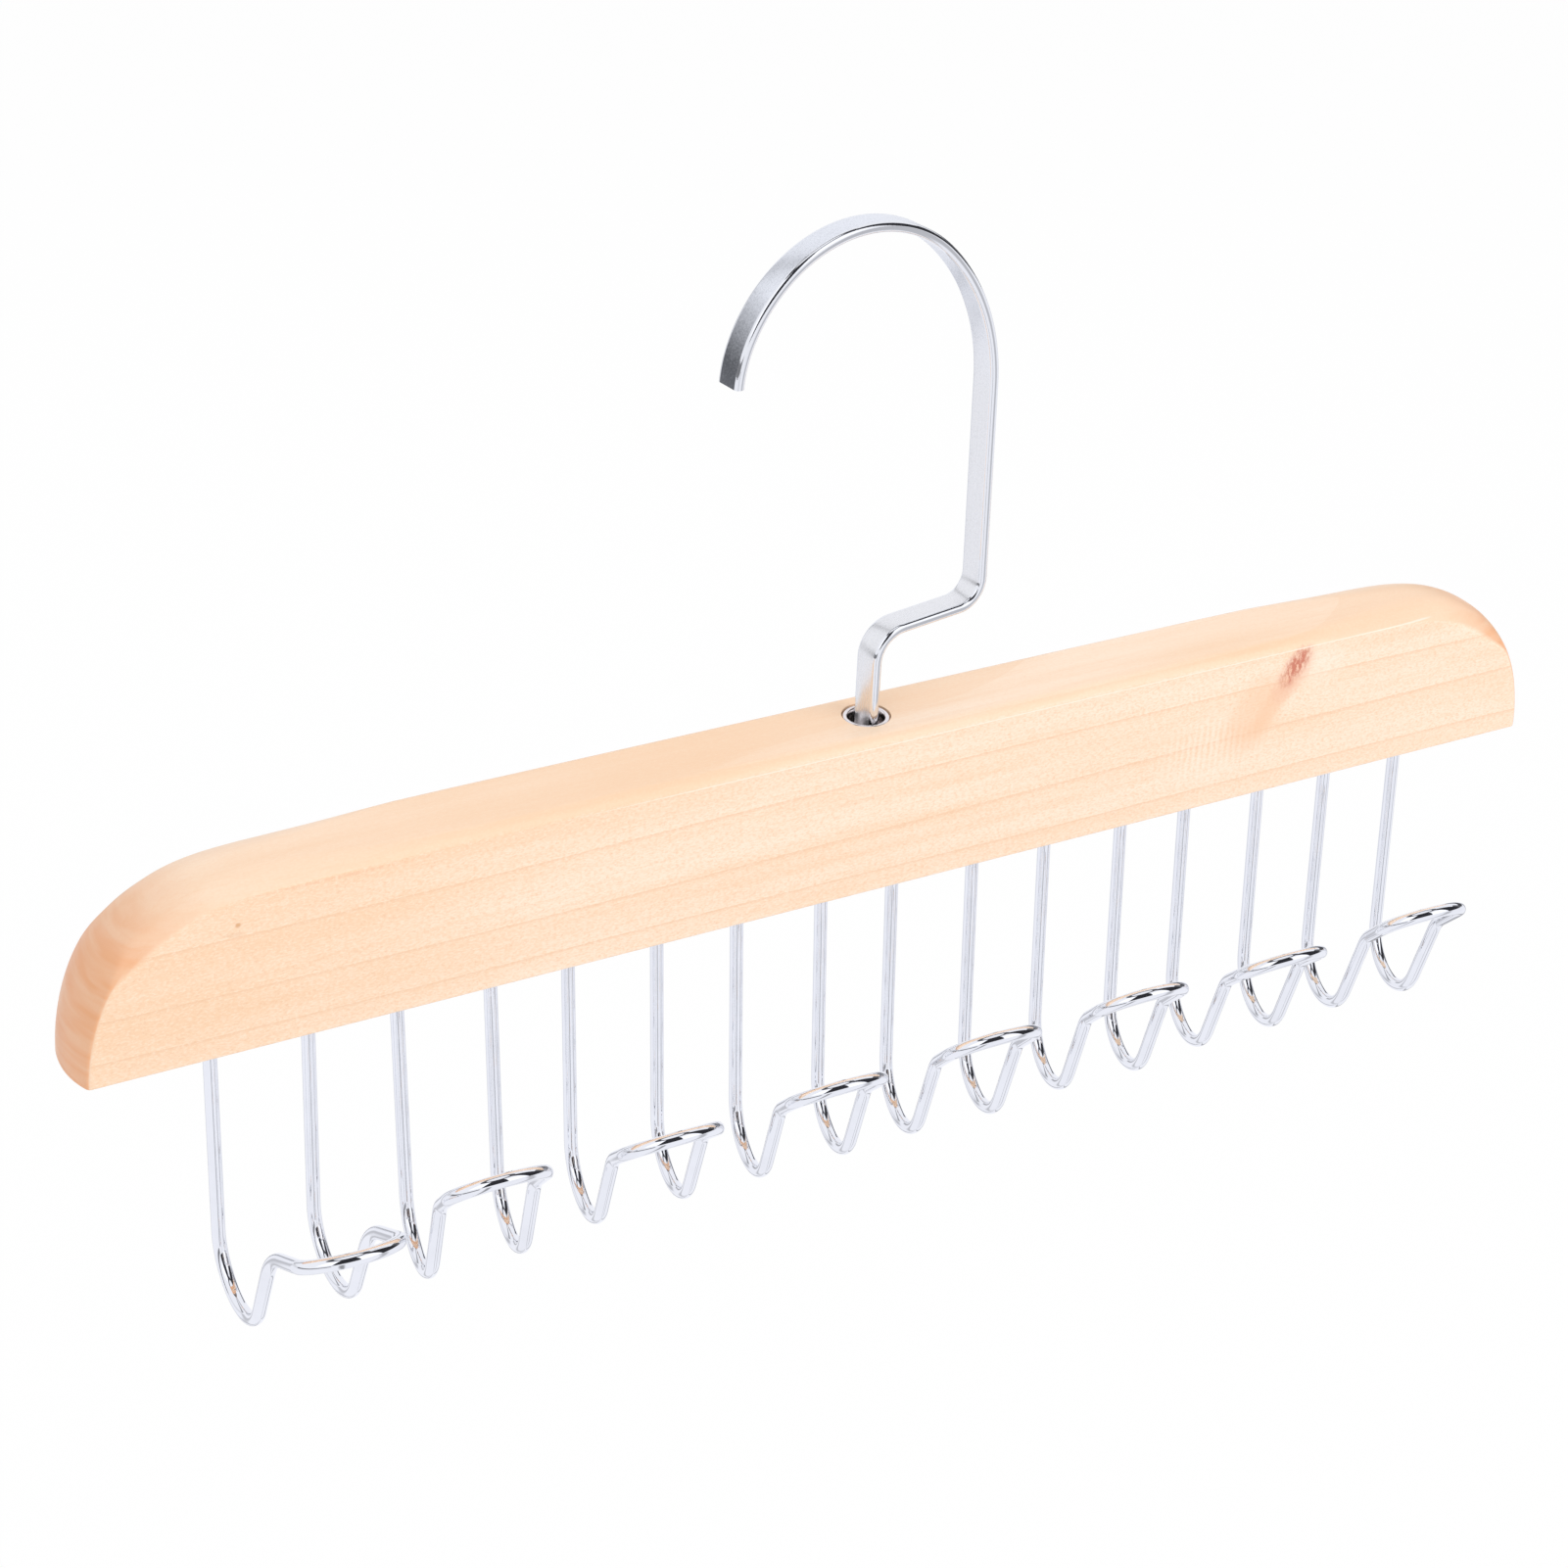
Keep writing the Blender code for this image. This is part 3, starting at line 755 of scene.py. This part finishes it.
def metal_finish(name, colour, roughness, wear, relief):
    """Smooth metal: faint clouding in its colour, and fine upright rub marks in its gloss and relief."""
    material, tree, output = new_material(name)
    coords = add_node(tree, "ShaderNodeTexCoord").outputs["Object"]
    clouds = mottle(tree, coords, metal_cloud_scale, detail=3.0)
    rubbing = mottle(tree, coords, metal_rub_scale, detail=2.0)
    clouded = tuple(metal_clouding * channel for channel in colour[:3]) + (1.0,)
    base = blended(tree, ranged(tree, clouds, 0.42, 0.80, 0.0, wear), colour, clouded)
    gloss = ranged(tree, clouds, 0.3, 0.7, roughness * 0.75, roughness * 1.25)
    gloss = worked(tree, "ADD", gloss, ranged(tree, rubbing, 0.55, 0.85, 0.0, 0.10 * wear))
    bump = add_node(tree, "ShaderNodeBump", {"Strength": relief, "Distance": 0.0001, "Height": rubbing})
    shader = add_node(tree, "ShaderNodeBsdfPrincipled", {
        "Base Color": base, "Metallic": 1.0, "Roughness": gloss, "Normal": bump.outputs[0],
    })
    tree.links.new(shader.outputs[0], output.inputs["Surface"])
    return material


ferrule = piece_from(ferrule_blank(), "swivel_ferrule")
shade(ferrule, sharp_from=50)
nickel_plate = metal_finish("nickel_plate", nickel_colour, roughness=0.12, wear=0.8, relief=0.03)
ferrule.data.materials.append(nickel_plate)
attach(ferrule, "bar")
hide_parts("ferrule")

# Swivel washer
# A small stamped ring of plain steel under the ferrule, out of sight in the bar. The tenon's peened head
# bears on it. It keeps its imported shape.
steel_colour = (0.52, 0.52, 0.53, 1.0)
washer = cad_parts["swivel_washer"]
washer.data.materials.clear()
washer_steel = metal_finish("washer_steel", steel_colour, roughness=0.30, wear=1.0, relief=0.05)
washer.data.materials.append(washer_steel)

# Flat hook
# One length of chromed steel strip, bent the flat way round formers: stem, offset, riser and crook. Its
# foot is turned down to a tenon that passes through the ferrule's floor and is peened over under the
# washer.
strip_width = 0.0055
strip_thickness = 0.0019
strip_corner = 0.00075
strip_corner_steps = 6
hook_yaw = math.radians(8.2)
strip_entry = 0.0030
stem_length = 0.0144
stem_bend_radius = 0.0058
offset_slope = math.radians(1.5)
offset_run = 0.0131
riser_bend_radius = 0.0050
riser_lean = math.radians(1.4)
riser_length = 0.0377
bend_steps = 12

# Each arc of the crook: the radius of the strip's middle, the turn, and the number of steps
crook_arcs = [
    (0.0385, math.radians(46.1), 20),
    (0.0261, math.radians(108.2), 44),
    (0.0226, math.radians(20.0), 10),
]
tenon_shoulder = 0.0004
tenon_radius = 0.0015
tenon_head_radius = 0.0026
tenon_head_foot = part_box("flat_hook")[0].z
tenon_head_thickness = 0.0012
tenon_head_chamfer_width = 0.0006
tenon_head_chamfer_height = 0.0003

# The satin faces' colour with its clouds and grains, its greyer form down the riser, and the tip's colour
satin_colour = (0.87, 0.89, 0.93, 1.0)
satin_cloud_colour = (0.80, 0.82, 0.855, 1.0)
satin_grain_colour = (0.56, 0.59, 0.63, 1.0)
riser_colour = (0.87, 0.87, 0.875, 1.0)
tip_colour = (0.13, 0.135, 0.145, 1.0)
edge_colour = (0.86, 0.87, 0.89, 1.0)
drawn_line_scale = (5200.0, 60.0, 1.0)
strip_grain_scale = (2800.0, 2800.0, 2800.0)
strip_cloud_scale = (90.0, 90.0, 90.0)
riser_colour_heights = (-0.012, -0.034)
tip_colour_places = (-0.0266, -0.0334)

# How far off the strip's middle line its polished edges start and are in full
polish_start = strip_width / 2 - strip_corner * 1.04
polish_full = strip_width / 2 - strip_corner * 0.90


class Stock:
    """Wire or strip fed out and bent: its open end is a ring of edges with a place and a way it points."""

    def __init__(self, shape, ring, place, heading):
        self.shape = shape
        self.ring = ring
        self.place = Vector(place)
        self.heading = Vector(heading).normalized()

    def feed(self, length):
        """Push straight stock out."""
        made = bmesh.ops.extrude_edge_only(self.shape, edges=self.ring)["geom"]
        self.ring = [item for item in made if isinstance(item, bmesh.types.BMEdge)]
        verts = list({vert for edge in self.ring for vert in edge.verts})
        self.ring = [edge for edge in self.ring if edge.is_boundary]
        bmesh.ops.translate(self.shape, verts=verts, vec=self.heading * length)
        self.place += self.heading * length

    def bend(self, axis, radius, turn, steps):
        """Turn the stock round a former that stands on an axis, to the axis's left."""
        axis = Vector(axis).normalized()
        centre = self.place + radius * axis.cross(self.heading)
        made = bmesh.ops.spin(
            self.shape, geom=self.ring, cent=centre, axis=axis, angle=turn, steps=steps,
        )["geom_last"]
        self.ring = [item for item in made if isinstance(item, bmesh.types.BMEdge)]
        turned = Matrix.Rotation(turn, 3, axis)
        self.place = centre + turned @ (self.place - centre)
        self.heading = turned @ self.heading


def strip_ring(shape, height):
    """The strip's cross section with its rounded corners, lying flat at a height."""
    flat = bmesh.ops.create_grid(shape, x_segments=1, y_segments=1, size=0.5)["verts"]
    bmesh.ops.scale(shape, vec=(strip_thickness, strip_width, 1.0), verts=flat)
    bmesh.ops.translate(shape, vec=(0.0, 0.0, height), verts=flat)
    bmesh.ops.bevel(
        shape, geom=shape.verts[:], offset=strip_corner, offset_type="OFFSET", segments=strip_corner_steps,
        profile=0.5, affect="VERTICES", clamp_overlap=False, material=-1,
    )
    bmesh.ops.delete(shape, geom=shape.faces[:], context="FACES_ONLY")
    return shape.edges[:]


def hook_blank():
    """The bent strip, then the tenon and its head from the strip's foot."""
    shape = bmesh.new()
    foot = rim_height - strip_entry
    ring = strip_ring(shape, foot)
    foot_ring = ring[:]
    stock = Stock(shape, ring, (0.0, 0.0, foot), (0.0, 0.0, 1.0))
    outward = (0.0, 1.0, 0.0)
    inward = (0.0, -1.0, 0.0)
    stock.feed(stem_length)
    stock.bend(outward, stem_bend_radius, upright - offset_slope, bend_steps)
    stock.feed(offset_run)
    stock.bend(inward, riser_bend_radius, upright + riser_lean - offset_slope, bend_steps)
    stock.feed(riser_length)
    for radius, turn, steps in crook_arcs:
        stock.bend(inward, radius, turn, steps)
    bmesh.ops.contextual_create(shape, geom=stock.ring)

    shoulder = foot - tenon_shoulder
    at_shoulder = Matrix.Translation((0.0, 0.0, shoulder))
    circle = bmesh.ops.create_circle(
        shape, segments=len(foot_ring), radius=tenon_radius, matrix=at_shoulder,
    )["verts"]
    tenon_ring = list({edge for vert in circle for edge in vert.link_edges})
    bmesh.ops.bridge_loops(shape, edges=foot_ring + tenon_ring)
    tenon = Stock(shape, tenon_ring, (0.0, 0.0, shoulder), (0.0, 0.0, -1.0))
    tenon.feed(shoulder - tenon_head_foot - tenon_head_thickness)
    for out, down in (
        (tenon_head_radius - tenon_radius, 0.0),
        (0.0, tenon_head_thickness - tenon_head_chamfer_height),
        (-tenon_head_chamfer_width, tenon_head_chamfer_height),
    ):
        tenon.feed(down)
        verts = list({vert for edge in tenon.ring for vert in edge.verts})
        radius = max(vert.co.xy.length for vert in verts)
        share = (radius + out) / radius
        bmesh.ops.scale(shape, vec=(share, share, 1.0), verts=verts)
    bmesh.ops.contextual_create(shape, geom=tenon.ring)
    yaw = Matrix.Rotation(hook_yaw, 3, "Z")
    bmesh.ops.rotate(shape, cent=(0.0, 0.0, 0.0), matrix=yaw, verts=shape.verts[:])
    bmesh.ops.recalc_face_normals(shape, faces=shape.faces[:])
    return shape


def strip_finish():
    """Chromed strip: satin broad faces with fine drawn lines and a dark tip, and polished narrow edges."""
    material, tree, output = new_material("chromed_strip")
    coords = add_node(tree, "ShaderNodeTexCoord").outputs["Object"]
    place = add_node(tree, "ShaderNodeSeparateXYZ", {0: coords})
    across = add_node(tree, "ShaderNodeVectorMath", {
        0: coords, 1: (-math.sin(hook_yaw), math.cos(hook_yaw), 0.0),
    }, operation="DOT_PRODUCT").outputs["Value"]
    polished = ranged(tree, worked(tree, "ABSOLUTE", across, 0.0), polish_start, polish_full)
    drawn_way = add_node(tree, "ShaderNodeCombineXYZ", {0: across, 1: place.outputs["Z"]}).outputs[0]
    lines = mottle(tree, drawn_way, drawn_line_scale, detail=2.0)
    grains = mottle(tree, coords, strip_grain_scale, detail=2.0, roughness=0.7)
    clouds = mottle(tree, coords, strip_cloud_scale, detail=3.0)

    satin = blended(tree, ranged(tree, clouds, 0.35, 0.75), satin_colour, satin_cloud_colour)
    satin = blended(tree, ranged(tree, grains, 0.55, 0.80, 0.0, 0.5), satin, satin_grain_colour)
    satin = blended(tree, ranged(tree, place.outputs["Z"], *riser_colour_heights), satin, riser_colour)
    tip_share = ranged(tree, place.outputs["X"], *tip_colour_places)
    tip_share = worked(tree, "ADD", tip_share, ranged(tree, grains, 0.35, 0.65, -0.08, 0.08))
    satin = blended(tree, tip_share, satin, tip_colour)
    base = blended(tree, polished, satin, edge_colour)
    smoother = ranged(tree, polished, 0.0, 1.0, 1.0, 0.26)
    rough = worked(tree, "MULTIPLY", ranged(tree, lines, 0.3, 0.7, 0.22, 0.34), smoother)
    relief = worked(tree, "MULTIPLY", worked(tree, "ADD", lines, grains), 0.5)
    bump = add_node(tree, "ShaderNodeBump", {"Strength": 0.08, "Distance": 0.0001, "Height": relief})
    shader = add_node(tree, "ShaderNodeBsdfPrincipled", {
        "Base Color": base, "Metallic": 1.0, "Roughness": rough, "Normal": bump.outputs[0],
    })
    tree.links.new(shader.outputs[0], output.inputs["Surface"])
    return material


hook = piece_from(hook_blank(), "flat_strip_hook")
shade(hook, sharp_from=40)
hook.data.materials.append(strip_finish())
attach(hook, "hook")
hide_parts("flat_hook")

# Belt loops
# Eight U-shaped loops of bright chromed steel wire. Both legs are driven into the bar's underside, bend
# forward into two troughs and meet in a bowed front bar. No two stand quite alike, and the first one's
# front bar is bent lower.
wire_facets = 24
trough_steps = 28
top_steps = 8
corner_steps = 10
front_steps = 26
chrome_colour = (0.89, 0.90, 0.93, 1.0)

# How far the limbs of each loop slant to its left, in degrees
loop_slants = [-0.6, 8.2, 7.6, 9.3, 9.8, 11.9, 12.2, 12.8]

plain_form = {
    "leg_drop": 0.0418, "trough_radius": 0.0095, "limb_lean": math.radians(25.2), "limb_length": 0.0145,
    "top_radius": 0.0075, "top_turn": math.radians(28.2), "top_run": 0.0057,
    "corner_radius": 0.0065, "bow": math.radians(45.6),
}
first_form = {
    "leg_drop": 0.0422, "trough_radius": 0.0101, "limb_lean": math.radians(23.2), "limb_length": 0.0127,
    "top_radius": 0.0150, "top_turn": math.radians(38.5), "top_run": 0.0083,
    "corner_radius": 0.0055, "bow": math.radians(44.0),
}


def half_loop(shape, side, form, slant):
    """One leg, its trough, its front limb and its corner. The limbs of a loop slant to its left."""
    forward = Vector((-math.sin(slant), -math.cos(slant), 0.0))
    inward = Vector((-side, 0.0, 0.0))
    top = Vector((side * leg_spacing / 2, 0.0, leg_depth))
    circle = bmesh.ops.create_circle(
        shape, segments=wire_facets, radius=wire_radius, matrix=Matrix.Translation(top),
    )["verts"]
    ring = list({edge for vert in circle for edge in vert.link_edges})
    bmesh.ops.contextual_create(shape, geom=ring)
    wire = Stock(shape, ring, top, (0.0, 0.0, -1.0))
    wire.feed(leg_depth + form["leg_drop"])
    trough_turn = math.pi - form["limb_lean"]
    wire.bend(wire.heading.cross(forward), form["trough_radius"], trough_turn, trough_steps)
    wire.feed(form["limb_length"])
    wire.bend(wire.heading.cross(forward), form["top_radius"], form["top_turn"], top_steps)
    wire.feed(form["top_run"] + form["corner_radius"] * wire.heading.dot(inward))
    corner_turn = wire.heading.angle(inward) - form["bow"]
    wire.bend(wire.heading.cross(inward), form["corner_radius"], corner_turn, corner_steps)
    return wire


def wire_loop(name, stand, form, slant):
    """Both halves and the bowed front bar between them, set in the bar."""
    shape = bmesh.new()
    left = half_loop(shape, -1, form, slant)
    right = half_loop(shape, 1, form, slant)
    chord = right.place - left.place
    bow = left.heading.angle(chord)
    radius = chord.length / (2 * math.sin(bow))
    bow_turn = 2 * bow * (front_steps - 1) / front_steps
    left.bend(left.heading.cross(chord), radius, bow_turn, front_steps - 1)
    bmesh.ops.bridge_loops(shape, edges=left.ring + right.ring)
    bmesh.ops.transform(shape, matrix=stand, verts=shape.verts[:])
    bmesh.ops.recalc_face_normals(shape, faces=shape.faces[:])
    return piece_from(shape, name)


bright_chrome = metal_finish("bright_chrome", chrome_colour, roughness=0.04, wear=0.4, relief=0.006)
for i, slant in enumerate(loop_slants):
    form = plain_form if i else first_form
    loop = wire_loop("wire_loop_%d" % (i + 1), loop_stand(i), form, math.radians(slant))
    shade(loop, sharp_from=50)
    loop.data.materials.append(bright_chrome)
    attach(loop, "bar")
    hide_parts("belt_loop_%d" % (i + 1))
